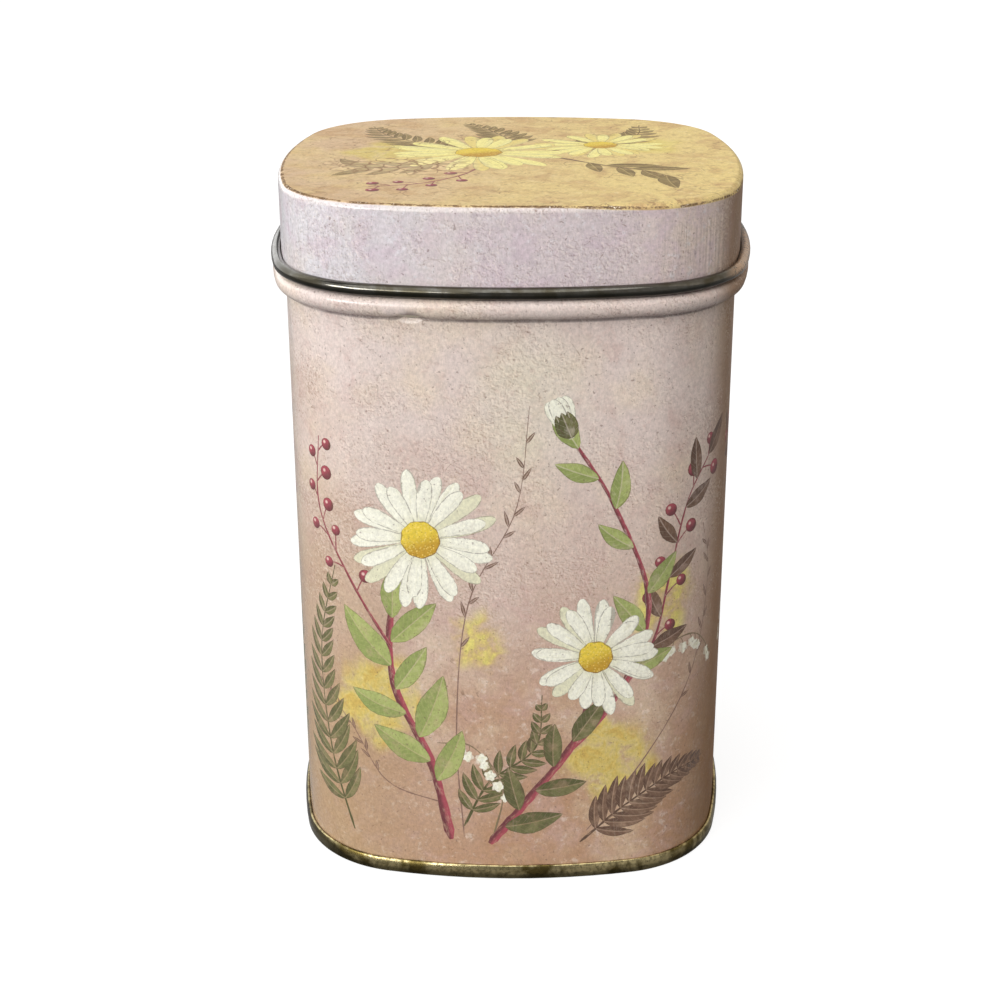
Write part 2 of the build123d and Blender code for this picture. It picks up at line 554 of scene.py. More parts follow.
    def sprig(self, points, length, count, start, inks=("lime", "lime_dark"), spread=48, width=0.4):
        """Long leaves that leave a stem, already drawn, on one side and then the other.

        start is the share of the stem that stays bare.
        """
        line = smooth_line(points, 60)
        for i in range(count):
            spot = int((start + (0.97 - start) * i / (count - 1)) * (len(line) - 2))
            side = 0 if i == count - 1 else 1 if i % 2 else -1
            size = length * self.dice.uniform(0.82, 1.08)
            angle = heading_at(line, spot) + side * (spread + self.dice.uniform(-8, 8))
            self.leaf(line[spot], angle, size, size * width, side * self.dice.uniform(-24, 8), inks)

    def berries(self, points, count, radius, side_length=3.2):
        """A thin stem with berries on short stalks."""
        line = self.stem(points, 0.55, 0.25)
        for i in range(count):
            spot = int((0.3 + 0.69 * i / (count - 1)) * (len(line) - 2))
            side = 1 if i % 2 else -1
            angle = math.radians(heading_at(line, spot) + side * self.dice.uniform(34, 62))
            reach = side_length * self.dice.uniform(0.7, 1.15)
            end = line[spot] + reach * np.array([math.cos(angle), math.sin(angle)])
            self.stem([line[spot], (line[spot] + end) / 2 + [0, 0.25], end], 0.3, 0.22)
            size = radius * self.dice.uniform(0.8, 1.1)
            self.spot("berry", end, size, ("crimson", "crimson_dark"), 14)

    def bells(self, points, count, radius):
        """Small pale bells along one side of a fine arching stem."""
        inks = ("pencil", "olive")
        line = self.stem(points, 0.35, 0.2, inks)
        for i in range(count):
            spot = int((0.35 + 0.64 * i / (count - 1)) * (len(line) - 2))
            drop = self.dice.uniform(0.9, 1.5)
            end = line[spot] + [self.dice.uniform(-0.5, 0.7), -drop]
            self.stem([line[spot], (line[spot] + end) / 2 + [0.15, 0], end], 0.2, 0.16, inks)
            size = radius * self.dice.uniform(0.8, 1.1)
            self.spot("cluster", end - [0, size * 0.6], size, ("cream", "cream_shade"), 15, 5, 0.2)


def lay_print(corners, lines, drawing, ground):
    """Cut a flat sheet along its grid and its motifs.

    Gives the points, the triangles, their kinds and the print's values at their corners.
    """
    points = list(corners)
    edges = list(lines)
    shapes = []
    for motif in drawing.motifs:
        first = len(points)
        points.extend(motif.outline())
        middle = len(points)
        points.extend(motif.line)
        shapes.append(list(range(first, middle)))
        edges.extend((i, i + 1) for i in range(middle, len(points) - 1))
    flat = [(float(x), float(y)) for x, y in points]
    found = delaunay_2d_cdt(flat, edges, shapes, 0, 1e-4, True)
    cut = np.array([tuple(p) for p in found[0]])
    faces = np.array(found[2])
    shown = np.array([max(owners, default=-1) for owners in found[5]])
    kinds = np.full(len(faces), ground, dtype=object)
    values = {name: np.zeros((len(faces), 3, 3)) for name in ("place", "ink", "ink_two")}
    values["seed"] = np.zeros((len(faces), 3))
    for number, motif in enumerate(drawing.motifs):
        mine = np.flatnonzero(shown == number)
        if len(mine):
            kinds[mine] = motif.kind
            values["place"][mine] = motif.places(cut[faces[mine].ravel()]).reshape(-1, 3, 3)
            values["ink"][mine], values["ink_two"][mine] = motif.inks
            values["seed"][mine] = motif.seed
    return cut, faces, list(kinds), values


# Camera, placed by a fit to the outlines in the photograph
camera_data = bpy.data.cameras.new("camera")
camera_data.sensor_width = 36
camera_data.lens = 65.6
camera = link("camera", camera_data)
camera.matrix_world = (
    Matrix.Translation((0.002808, -0.278141, 0.161088))
    @ Matrix.Rotation(math.radians(0.957), 4, "Z")
    @ Matrix.Rotation(math.radians(68.21), 4, "X")
    @ Matrix.Rotation(math.radians(-0.19), 4, "Z")
)
bpy.context.scene.camera = camera


class Value:
    """What a node gives, with short ways to add the nodes that work on it."""

    def __init__(self, socket):
        self.socket = socket

    def put(self, kind, inputs=(), output=0, **settings):
        """Add a node to the same tree."""
        return put(self.socket.id_data, kind, inputs, output, **settings)

    def work(self, operation, first, second=None, output=0):
        """Arithmetic on numbers, or on vectors where this is one."""
        kind = "ShaderNodeVectorMath" if self.socket.type == "VECTOR" else "ShaderNodeMath"
        return self.put(kind, {0: first, 1: second}, output, operation=operation)

    def __add__(self, other):
        return self.work("ADD", self, other)

    def __sub__(self, other):
        return self.work("SUBTRACT", self, other)

    def __rsub__(self, other):
        return self.work("SUBTRACT", other, self)

    def __mul__(self, other):
        return self.work("MULTIPLY", self, other)

    def __truediv__(self, other):
        return self.work("DIVIDE", self, other)

    def __abs__(self):
        return self.work("ABSOLUTE", self)

    def fraction(self):
        return self.work("FRACT", self)

    def least(self, other):
        return self.work("MINIMUM", self, other)

    def most(self, other):
        return self.work("MAXIMUM", self, other)

    def distance(self, point):
        return self.work("DISTANCE", self, point, "Value")

    def clamped(self):
        """The same, kept between 0 and 1."""
        self.socket.node.use_clamp = True
        return self

    def beside(self, output):
        """Another result of the same node."""
        return Value(self.socket.node.outputs[output])

    def apart(self):
        """The three numbers of a vector."""
        first = self.put("ShaderNodeSeparateXYZ", {0: self})
        return first, first.beside(1), first.beside(2)

    def smooth(self, low, high, out_low=0.0, out_high=1.0):
        """A smooth step from out_low to out_high as the value goes from low to high."""
        inputs = {"Value": self, "From Min": low, "From Max": high, "To Min": out_low, "To Max": out_high}
        return self.put("ShaderNodeMapRange", inputs, interpolation_type="SMOOTHSTEP")

    def noise(self, scale, detail=2.0, roughness=0.5, distortion=0.0):
        inputs = {"Vector": self, "Scale": scale, "Detail": detail, "Roughness": roughness}
        return self.put("ShaderNodeTexNoise", {**inputs, "Distortion": distortion})

    def cells(self, scale, feature="F1"):
        """Distance to the nearest of many scattered points, or to their borders."""
        inputs = {"Vector": self, "Scale": scale}
        return self.put("ShaderNodeTexVoronoi", inputs, "Distance", feature=feature)

    def bump(self, distance):
        return self.put("ShaderNodeBump", {"Height": self, "Distance": distance, "Strength": 1.0})


def feed(socket, value):
    """Link a socket to a value, or set it."""
    if isinstance(value, Value):
        socket.id_data.links.new(value.socket, socket)
    elif value is not None:
        socket.default_value = value


def put(tree, kind, inputs=(), output=0, **settings):
    """Add a node, with its settings and its inputs by name or number, and give one of its results."""
    node = tree.nodes.new(kind)
    for name, value in settings.items():
        setattr(node, name, value)
    for name, value in dict(inputs).items():
        feed(node.inputs[name], value)
    return Value(node.outputs[output])


def mix(factor, a, b, blend="MIX"):
    """Mix two colours. One written as numbers is as it shows on a screen, from 0 to 255."""
    known = next(value for value in (factor, a, b) if isinstance(value, Value))
    a, b = (value if isinstance(value, Value) else (*srgb(value), 1) for value in (a, b))
    return known.put("ShaderNodeMix", {0: factor, 6: a, 7: b}, 2, data_type="RGBA", blend_type=blend)


def layered(colour, *layers):
    """A colour with others mixed over it in turn: each layer is a factor and its colour."""
    for factor, over in layers:
        colour = mix(factor, colour, over)
    return colour


def join(first, second, third=0.0):
    """A vector of three numbers."""
    return first.put("ShaderNodeCombineXYZ", {0: first, 1: second, 2: third})


def attribute(tree, name, output="Vector"):
    return put(tree, "ShaderNodeAttribute", (), output, attribute_name=name)


def place_mm(tree):
    """Where the point is on the object at rest, in mm."""
    place = put(tree, "ShaderNodeTexCoord", (), "Object")
    return place.put("ShaderNodeVectorMath", {0: place, 3: 1 / MM}, operation="SCALE")


def new_group(name, outputs, inputs=()):
    """A node group with its sockets: each is (name, kind)."""
    group = bpy.data.node_groups.new(name, "ShaderNodeTree")
    for way, sockets in (("INPUT", inputs), ("OUTPUT", outputs)):
        for socket, kind in sockets:
            group.interface.new_socket(socket, in_out=way, socket_type=f"NodeSocket{kind}")
    return group, group.nodes.new("NodeGroupInput").outputs, group.nodes.new("NodeGroupOutput").inputs


def new_material(name):
    """A material and the inputs of its shader."""
    material = bpy.data.materials.new(name)
    material.use_nodes = True
    return material, material.node_tree.nodes["Principled BSDF"].inputs


def paper_ground():
    """The plain printed ground: mottled rose grey on the body and skirt, tan and ochre on top, with dirt
    and painted shade under the bead, painted shade at the front right corner and painted light and shade of
    a fine relief.
    """
    group, _, out = new_group("print_ground_and_shade", [("Colour", "Color")])
    p = place_mm(group)
    x, y, z = p.apart()
    broad = p.noise(0.05, 3, 0.55, 0.6)
    blotch = (p + (31, 7, 12)).noise(0.2, 4, 0.62, 0.5)
    warm = (p + (5, 61, 40)).noise(0.09, 3, 0.6)
    flecks = (p + (15, 6, 70)).noise(0.75, 4, 0.68, 0.3)
    down = (z.smooth(96, 2) + (broad - 0.5) * 0.7).clamped()
    cloud = (p * (1, 1, 0.7)).distance((3, -34.5, 54)).smooth(12, 2) * broad.smooth(0.35, 0.6, 0.3, 0.7)
    # Dirt and painted shade on the bead's underside down to its foot, lifted where the bead is knocked in
    knock = (p * (1, 0.2, 0)).distance((-13.6, -7, 0))
    rise = z - knock.smooth(2.3, 0.4, bead_bottom, bead_bottom + 0.75)
    foot = rise.smooth(1.4, 0.2) * rise.smooth(-0.3, 0)
    wall = layered(
        mix(down, (218, 202, 195), (180, 142, 112)),
        (warm.smooth(0.45, 0.75, 0, 0.45), (226, 208, 180)),
        (blotch.smooth(0.48, 0.74, 0, 0.5), (196, 164, 156)),
        (cloud, (222, 216, 190)),
        (flecks.smooth(0.54, 0.7, 0, 0.3), (186, 152, 142)),
        (flecks.smooth(0.45, 0.3, 0, 0.35), (232, 220, 208)),
        (down * x.smooth(-6, -30, 0, 0.7), (170, 144, 110)),
        (foot * blotch.smooth(0.3, 0.7, 0.5, 0.85), (112, 98, 98)),
    )
    skirt = layered(
        mix(x.smooth(-34, 10), (212, 208, 212), (208, 195, 197)),
        (x.smooth(12, 28), (220, 202, 190)),
        (blotch.smooth(0.42, 0.66, 0, 0.5), (206, 184, 196)),
        (warm.smooth(0.5, 0.75, 0, 0.5), (216, 204, 196)),
        (flecks.smooth(0.54, 0.7, 0, 0.4), (184, 168, 178)),
        (flecks.smooth(0.45, 0.3, 0, 0.45), (228, 228, 232)),
        (z.smooth(lid_top - 1.1, lid_top - 0.7, 0, 0.25), (226, 218, 202)),
    )
    top = layered(
        mix(x.smooth(-30, 24), (208, 178, 142), (224, 200, 134)),
        (blotch.smooth(0.44, 0.66, 0, 0.65), (192, 154, 108)),
        (warm.smooth(0.45, 0.7, 0, 0.45), (230, 208, 140)),
        (flecks.smooth(0.53, 0.68, 0, 0.5), (168, 134, 94)),
        (flecks.smooth(0.45, 0.3, 0, 0.4), (236, 216, 168)),
    )
    # Painted shade and warm reflection in brown at the front right corner of the wall and skirt, with a
    # blotchy border
    border = y + (blotch - 0.5) * 26.0
    stain_and_shade = border.smooth(4, -19) * x.smooth(z.smooth(50, 5, 28, 25), 32.5, 0, 0.84)
    # Painted light and shade of a fine relief: a noise less the same noise a little offset gives lit and
    # shaded edges, patchy and weaker low on the wall
    density = (p + (44, 8, 5)).noise(0.13, 3, 0.6).smooth(0.38, 0.62, 0.2, 1.0) * z.smooth(30, 62, 0.4, 1.0)
    relief_light_and_shade = (p.noise(1.5, 3, 0.6, 1.1) - (p + (0.15, 0.05, 0.15)).noise(1.5, 3, 0.6, 1.1)) * density
    hairs = abs((p + (17, 5, 88)).noise(0.1, 3, 0.55, 1.6) - 0.5).smooth(0.0045, 0.0)
    colour = layered(
        wall,
        (z.smooth(bead_top, bead_top + 0.1), skirt),
        (stain_and_shade, (128, 89, 46)),
        (relief_light_and_shade.smooth(0.02, 0.13, 0, 0.26), (242, 230, 214)),
    )
    shaded = mix(1.0, colour, (196, 178, 166), "MULTIPLY")
    edge = x.smooth(4, 22, lid_top - 0.12, lid_top - 0.85)
    colour = layered(
        colour,
        (relief_light_and_shade.smooth(-0.02, -0.13, 0, 0.42), shaded),
        (hairs * p.noise(0.3, 3, 0.6).smooth(0.5, 0.62, 0, 0.5), (122, 92, 68)),
        ((z - edge).smooth(-0.2, 0.0), top),
    )
    feed(out[0], colour)
    return group


def aged_finish():
    """What age and lacquer do to any printed colour: grain, specks, scratches and worn edges, with painted
    shade along the draw creases at the skirt's corners.
    """
    outputs = [("Colour", "Color"), ("Roughness", "Float"), ("Normal", "Vector")]
    group, given, out = new_group("aged_finish", outputs, [("Colour", "Color")])
    p = place_mm(group)
    x, y, z = p.apart()
    wear = attribute(group, "wear", "Fac")
    on_top = z.smooth(lid_top - 0.3, lid_top - 0.05)
    grain = p.noise(1.9, 3, 0.7)
    fibre = (p * (1, 1, 0.45)).noise(4.5, 2, 0.6)
    tone = grain.smooth(0.3, 0.7, 0.88, 1.06) + fibre.smooth(0.3, 0.7, -0.06, 0.06)
    tone = tone * (1.0 - on_top * 0.13)
    colour = mix(1.0, Value(given[0]), join(tone, tone, tone), "MULTIPLY")
    specks = (p + (9, 3, 50)).noise(2.0, 1, 0.5).smooth(0.68, 0.76, 0, 0.5)
    warp = p.noise(0.35).beside(1)
    warped = p + warp.put("ShaderNodeVectorMath", {0: warp, 3: 3.0}, operation="SCALE")
    cracks = warped.cells(0.34, "DISTANCE_TO_EDGE").smooth(0.06, 0.0)
    patchy = (p + (80, 12, 33)).noise(0.22, 3, 0.6).smooth(0.5, 0.66)
    aged_top = z.smooth(lid_top - 1.2, lid_top - 0.4, 0.12, 0.6)
    flaked = (warped * (0.6, 1, 1)).distance((-9, -6, lid_top)).smooth(9, 4, 0, 0.8)
    crazed = warped.cells(0.42, "DISTANCE_TO_EDGE").smooth(0.1, 0.03)
    lines = (p * (1.4, 1.4, 0.12)).noise(0.8, 2, 0.5, 1.2)
    sparse = (p + (70, 2, 8)).noise(0.09, 2, 0.5).smooth(0.56, 0.7)
    scratch = abs(lines - 0.5).smooth(0.004, 0.0) * sparse
    broken = (p + (11, 4, 2)).noise(0.35, 5, 0.75)
    fine = (p + (2, 24, 9)).noise(2.4, 3, 0.65)
    worn = (wear * (broken * 0.65 + fine * 0.35).smooth(0.36, 0.56, 0.0, 1.5)).clamped()
    chips = wear.smooth(0.25, 0.7) * fine.smooth(0.56, 0.62) * broken.smooth(0.5, 0.6)
    corner = abs(x).least(abs(y))
    drawn = corner.smooth(17, 24) * z.smooth(lid_top - 1.6, lid_top - 4.5)
    drawn = drawn * z.smooth(lid_top - 11.6, lid_top - 9)
    pleats = (p * (1, 1, 0.04)).noise(1.5, 2, 0.6)
    # Painted shade along the draw creases at the skirt's corners
    painted_crease_shade = abs(pleats - 0.47).smooth(0.05, 0.0) * drawn * 0.3
    colour = layered(
        colour,
        (specks, (112, 86, 76)),
        (cracks * patchy * aged_top, (120, 88, 62)),
        (flaked * 0.4, (236, 212, 164)),
        (crazed * flaked, (124, 88, 56)),
        (scratch * 0.3, (232, 222, 208)),
        (worn.smooth(0.4, 0.8), mix(fine.smooth(0.4, 0.6), (92, 68, 46), (140, 112, 76))),
        (chips, (240, 232, 214)),
    )
    feed(out[0], mix(painted_crease_shade, colour, mix(1.0, colour, (196, 194, 194), "MULTIPLY")))
    dull = (p + (40, 40, 3)).noise(0.3, 3, 0.6).smooth(0.3, 0.7, 0.14, 0.26)
    stained = x.smooth(28, 32) * y.smooth(0, -14)
    feed(out[1], dull + worn * 0.35 + on_top * 0.55 + stained * 0.4)
    feed(out[2], (grain * 0.4 - scratch * 0.3 - worn * 0.4 + drawn * pleats * 2.0).bump(0.04 * MM))
    return group


ground_group = paper_ground()
finish_group = aged_finish()


class Inked:
    """What a motif's material works with.

    That is the ground's colour, the motif's two inks, the place along it, across it and from
    its edge, and a place of the motif's own for noise.
    """

    def __init__(self, tree, ground):
        self.ground = ground
        self.ink = attribute(tree, "ink")
        self.ink_two = attribute(tree, "ink_two")
        self.along, self.across, self.edge = attribute(tree, "place").apart()
        self.own = join(self.along, self.across, attribute(tree, "seed", "Fac") * 90.0)

    def pencilled(self, colour, width, strength):
        """The colour with a broken pencil line round the motif."""
        reach = self.own.noise(1.1, 3, 0.6).smooth(0.3, 0.7, 0.1, 1.6) * width
        line = (1.0 - self.edge / reach).clamped()
        return mix(line.smooth(0, 0.5) * strength, colour, INK["brown_dark"])


def printed(name, paint=None):
    """A printed material: paint mixes the motif's inks over the ground's colour."""
    material, shader = new_material(name)
    tree = material.node_tree
    colour = put(tree, "ShaderNodeGroup", node_tree=ground_group)
    if paint:
        colour = paint(Inked(tree, colour))
    finish = put(tree, "ShaderNodeGroup", node_tree=finish_group)
    feed(finish.socket.node.inputs[0], colour)
    for output, entry in enumerate(("Base Color", "Roughness", "Normal")):
        feed(shader[entry], finish.beside(output))
    shader["Specular IOR Level"].default_value = 0.55
    return material


def paint_petal(m):
    streaks = (m.own * (0.28, 3.6, 1)).noise(1.0, 3, 0.6)
    colour = layered(
        m.ink,
        (m.along.smooth(3.2, 0.4, 0, 0.75), m.ink_two),
        (streaks.smooth(0.52, 0.72, 0, 0.55), m.ink_two),
        (m.across.smooth(0.2, -1.6, 0, 0.3), (196, 192, 170)),
    )
    return m.pencilled(colour, 0.16, 0.5)


def paint_disc(m):
    colour = layered(
        m.ink,
        ((m.across - m.along * 0.4).smooth(1.2, -1.8), m.ink_two),
        (m.own.cells(2.6).smooth(0.42, 0.2, 0, 0.6), (238, 216, 120)),
        ((m.own + (5, 5, 5)).cells(2.2).smooth(0.24, 0.08, 0, 0.75), (140, 98, 40)),
    )
    return m.pencilled(colour, 0.22, 0.6)


def paint_leaf(m):
    pool = m.own.noise(0.5, 3, 0.6)
    slant = ((m.along - abs(m.across) * 1.1) * 0.95).fraction()
    colour = layered(
        m.ink,
        (m.across.smooth(-0.05, 0.05, 0.15, 0.75), m.ink_two),
        (pool.smooth(0.45, 0.7, 0, 0.55), m.ink_two),
        (pool.smooth(0.5, 0.3, 0, 0.3), m.ground),
        (abs(slant - 0.5).smooth(0.07, 0.0, 0, 0.4), mix(0.5, m.ink, m.ground)),
        (abs(m.across).smooth(0.13, 0.05, 0, 0.7), mix(0.55, m.ink, m.ground)),
    )
    return m.pencilled(colour, 0.14, 0.45)


def paint_stem(m):
    dry = (m.own * (0.7, 2.5, 1)).noise(1.0, 3, 0.6)
    return layered(
        m.ink,
        (m.across.smooth(-0.35, 0.35), m.ink_two),
        (dry.smooth(0.5, 0.72, 0, 0.5), m.ground),
        (m.edge.smooth(0.08, 0.0, 0, 0.55), m.ground),
    )


def paint_berry(m):
    light = join(m.along, m.across).distance((-0.32, 0.34, 0))
    colour = layered(
        m.ink,
        ((m.across - m.along * 0.6).smooth(0.7, -1.0), m.ink_two),
        (light.smooth(0.36, 0.12, 0, 0.8), (236, 208, 196)),
    )
    return m.pencilled(colour, 0.14, 0.5)


def paint_cluster(m):
    blotch = m.own.noise(1.6, 2, 0.5)
    return layered(
        m.ink,
        (blotch.smooth(0.45, 0.65, 0, 0.7), m.ink_two),
        (m.edge.smooth(0.14, 0.0, 0, 0.5), m.ground),
    )


def paint_wash(m):
    cloud = m.own.noise(0.32, 4, 0.6, 0.5)
    cover = m.edge.smooth(0.2, 3.6) * cloud.smooth(0.28, 0.62, 0.1, 0.85)
    return mix(cover, m.ground, mix(cloud.smooth(0.4, 0.65), m.ink, m.ink_two))


def metal(name, light, dark, roughness, grime, brown, foot=0.0, shine=1.0, end=None):
    """Bare or lacquered sheet that has dulled with age, blackened below the height of foot.

    end is the colour left on it at the front right corner.
    """
    material, shader = new_material(name)
    p = place_mm(material.node_tree)
    x, y, z = p.apart()
    wear = attribute(material.node_tree, "wear", "Fac")
    if foot:
        height = z - x.smooth(-24, -31, 0, 1.3) + p.noise(0.5, 3, 0.7)
        wear = height.smooth(foot + 0.9, foot + 0.2, 0, 0.8)
    cloud = p.noise(0.22, 4, 0.6, 0.5)
    fine = (p + (4, 9, 21)).noise(1.7, 4, 0.65)
    stain_and_shade = fine.smooth(0.42, 0.66) * grime
    colour = layered(light, (cloud.smooth(0.4, 0.6), dark), (stain_and_shade, brown))
    shader["Metallic"].default_value = shine
    if end:
        painted = x.smooth(30, 33.5) * y.smooth(6, -6) * fine.smooth(0.3, 0.5)
        colour = mix(painted, colour, end)
        feed(shader["Metallic"], shine - painted)
    # Towards near black where the wear value is high: painted shade on the lid's roll, and below the height
    # of foot on the base
    feed(shader["Base Color"], mix(wear * fine.smooth(0.2, 0.6, 1, 0.75), colour, (29, 29, 24)))
    feed(shader["Roughness"], cloud.smooth(0.3, 0.7, roughness - 0.05, roughness + 0.1) + stain_and_shade * 0.2)
    feed(shader["Normal"], (fine + cloud * 0.6).bump(0.008 * MM))
    return material


materials = {
    "ground": printed("print_ground_and_shade"),
    "petal": printed("print_petal", paint_petal),
    "disc": printed("print_flower_centre", paint_disc),
    "leaf": printed("print_leaf", paint_leaf),
    "stem": printed("print_stem", paint_stem),
    "berry": printed("print_berry", paint_berry),
    "cluster": printed("print_small_bloom", paint_cluster),
    "wash": printed("print_wash", paint_wash),
    "tinplate": metal(
        "dull_tinplate", (206, 203, 192), (190, 185, 170), 0.36, 0.35, (150, 140, 116), shine=0.6
    ),
    "roll": metal(
        "darkened_roll", (104, 102, 96), (80, 76, 64), 0.12, 0.3, (70, 62, 42), end=(178, 144, 112)
    ),
}
brass = metal("tarnished_gold", (206, 190, 142), (108, 94, 52), 0.16, 0.6, (58, 50, 26), foot=0.95)


def meadow(drawing, shift, flip):
    """A growing bunch: daisies, ferns, berries and bells, moved or turned about on the sheet."""
    way = -1 if flip else 1

    def at(*pairs):
        return [(shift + way * x, z) for x, z in pairs]

    for x, z, size, inks in (
        (-20, 30, 9.0, ("wash", "wash_ochre")),
        (16, 21, 9.0, ("wash", "wash_ochre")),
        (24, 46, 7.5, ("wash_ochre", "wash")),
        (-4, 41, 6.5, ("wash_ochre", "wash")),
    ):
        drawing.spot("wash", at((x, z))[0], size, inks, 28, 5, 0.16)
    drawing.grass(at((-7, 7), (-8, 26), (-6, 47), (1, 62), (3, 78)), 13, 2.4)
    drawing.grass(at((12, 8), (21, 20), (30, 34), (33, 48), (31, 57)), 10, 2.2)
    drawing.grass(at((-10.3, 13), (-19, 16), (-25, 25), (-34, 33)), 10, 2.2)
    drawing.fern(at((-25, 6), (-29.5, 20), (-31, 36), (-27, 51)), 9.0, 15)
    drawing.fern(at((11, 6), (18, 12), (25.5, 16), (33.5, 16.5)), 7.6, 14, ("brown", "brown_dark"))
    drawing.fern(at((-7, 9), (-3, 17), (4, 23), (5, 32)), 6.0, 12)
    drawing.bells(at((-2.6, 6.5), (-1, 16), (-5.5, 23), (-11, 23.5)), 9, 0.9)
    drawing.bells(at((17.6, 33.5), (24, 38.5), (30, 39), (35, 34)), 8, 0.85)
    brown_stem = at((17.2, 32.2), (22, 40), (24.5, 51), (27.5, 62), (33, 69))
    drawing.berries(brown_stem, 10, 1.15)
    drawing.sprig(brown_stem, 7.0, 7, 0.24, ("brown", "brown_dark"), 50, 0.38)
    tall_stem = at((-9, 6.5), (-12, 20), (-17.5, 33), (-17.5, 46), (-13.5, 56))
    low_stem = at((-3, 6), (3, 14), (10.5, 25), (13, 37))
    bud_stem = at((7.6, 20.6), (16.5, 31.5), (21, 46), (15.5, 62), (9, 73))
    drawing.stem(tall_stem, 1.6, 0.8)
    drawing.stem(bud_stem, 1.2, 0.5)
    drawing.stem(low_stem, 1.6, 0.9)
    drawing.sprig(tall_stem[:4], 11.0, 8, 0.26)
    drawing.sprig(low_stem[:3], 8.6, 5, 0.22, ("olive", "olive_dark"))
    drawing.sprig(bud_stem[1:], 7.6, 7, 0.1, spread=44)
    drawing.bud(bud_stem[-1], 68 if flip else 112, 5.2)
    drawing.berries(at((-17.7, 39), (-24.5, 50), (-30, 60), (-29.5, 71)), 9, 1.05, 3.0)
    drawing.daisy(at((-13, 57))[0], 12.0, 15, 0.94, 20 * way)
    drawing.daisy(at((13, 38))[0], 11.0, 14, 0.86, -35 * way)


def body_drawing():
    """Three bunches round the wall, clear of the lock seam and the wall's ends."""
    drawing = Drawing(4)
    for shift, flip in ((0, False), (75, True), (-75, True)):
        meadow(drawing, perimeter / 2 + shift, flip)
    low, high = (4, 4), (perimeter - 4, 88)
    drawing.keep(lambda p: (low < p.min(0)).all() and (p.max(0) < high).all())
    return drawing


def lid_drawing():
    """Two pale daisies among fronds on the lid's panel."""
    drawing = Drawing(12)
    inks = ("tan_leaf", "tan_leaf_dark")
    pale = ("lemon", "lemon_shade")
    drawing.spot("wash", (-17, 3), 10, ("wash", "wash_ochre"), 28, 5, 0.14)
    drawing.spot("wash", (19, 9), 9, ("wash", "wash_ochre"), 28, 5, 0.14)
    drawing.fern([(-6, 2), (-13, 9), (-20, 17), (-23, 25)], 8.5, 11, inks)
    drawing.fern([(6, 4), (14, 10), (20, 17), (21, 26)], 8.5, 11, inks)
    drawing.fern([(0, 8), (-1, 15), (-4, 22), (-8, 28)], 7.0, 10, inks)
    for branch, length, count in (
        ([(-2, -2), (-12, -7), (-20, -9), (-27, -7)], 8.0, 9),
        ([(6, 0), (14, -7), (20, -11), (25, -17)], 8.4, 8),
    ):
        drawing.stem(branch, 0.7, 0.3, ("tan_leaf_dark", "brown"))
        drawing.sprig(branch, length, count, 0.25, inks, 40, 0.34)
    drawing.berries([(-4, -6), (-7, -14), (-13, -20), (-20, -22)], 8, 1.0)
    drawing.daisy((14, 9), 11.0, 15, 0.92, 30, pale)
    drawing.daisy((-5, 3), 14.6, 16, 1, 0, pale)
    return drawing


# Body: wrapped wall with its bead, neck, rolled mouth, seam hook and lock seam
lock_low = seam_height + lock_margin
lock_high = bead_bottom - lock_margin
print_low = 3.0
print_high = bead_bottom - 1.0
lock_step = 0.06
wall_marks = [
    body_fold_height,
    seam_height,
    seam_height + lock_step,
    print_low,
    lock_low,
    lock_low + lock_step,
    lock_high - lock_step,
    lock_high,
    print_high,
    bead_bottom - lock_step,
    bead_bottom,
]
foot_moves = [(cover_fold_height - body_fold_height, 1), (fold_radius, -180, 6)]
wall_moves = [(high - low, 1) for low, high in zip(wall_marks, wall_marks[1:])]
bead_moves = [
    (bead_root_radius, -bead_slope, 6),
    (bead_side_radius, bead_slope, 12),
    (bead_crown_radius, 90, 10),
]
neck_moves = [
    (neck_root_radius, -90, 10),
    (body_height - mouth_curl_radius - bead_top - neck_root_radius, 4),
    (mouth_curl_radius, mouth_curl_angle, 30),
]


def parts_in(moves):
    return sum(move[-1] for move in moves)


body_moves = foot_moves + wall_moves + bead_moves + neck_moves
body_section = walk((hook_place, cover_fold_height), -90, body_moves)
body_walked = body_section[3]
body_last = parts_in(body_moves)
wall_first = parts_in(foot_moves)
print_first = wall_first + wall_marks.index(print_low)
print_last = wall_first + wall_marks.index(print_high)
bead_first = wall_first + parts_in(wall_moves)
bead_last = bead_first + parts_in(bead_moves) + 2  # the print ends just inside the neck's root
wall_walked = body_walked[wall_first] - body_fold_height
bead_walked = body_walked[bead_first]

# Small knocks along the bead: share of the way round, length and depth
bead_knocks = [
    (0.4415, 1.7, 0.62),
    (0.512, 3.0, 0.08),
    (0.57, 2.4, 0.1),
    (0.19, 2.6, 0.18),
    (0.83, 2.2, 0.25),
]


def box_step(value, low, high, soft):
    """1 between low and high, falling to 0 over soft outside them."""
    return np.clip((value - low) / soft + 1, 0, 1) * np.clip((high - value) / soft + 1, 0, 1)


def from_back(along):
    """How far round from the middle of the back, signed."""
    return (along + perimeter / 2) % perimeter - perimeter / 2


groove_start = lock_width / 2 - groove_width


def groove_dent(along, walked):
    """The fold line outside the lock seam."""
    across = np.abs(from_back(along) - groove_start - groove_width / 2) / (groove_width / 2)
    depth = groove_depth * np.clip(1 - across**2, 0, 1)
    low = seam_height + lock_step
    return depth * box_step(walked - wall_walked, low, bead_bottom - lock_step, lock_step)


def bead_dent(along, walked):
    """Knocks along the bead, fading out above the printed wall, and the lock seam's fold line."""
    past = walked - bead_walked
    fade = np.clip(past + 1, 0, 1) * np.exp(-(((past - 0.9) / 0.8) ** 2))
    knocks = sum(d * np.exp(-(((along - place * perimeter) / w) ** 2)) for place, w, d in bead_knocks)
    return knocks * fade + groove_dent(along, walked)


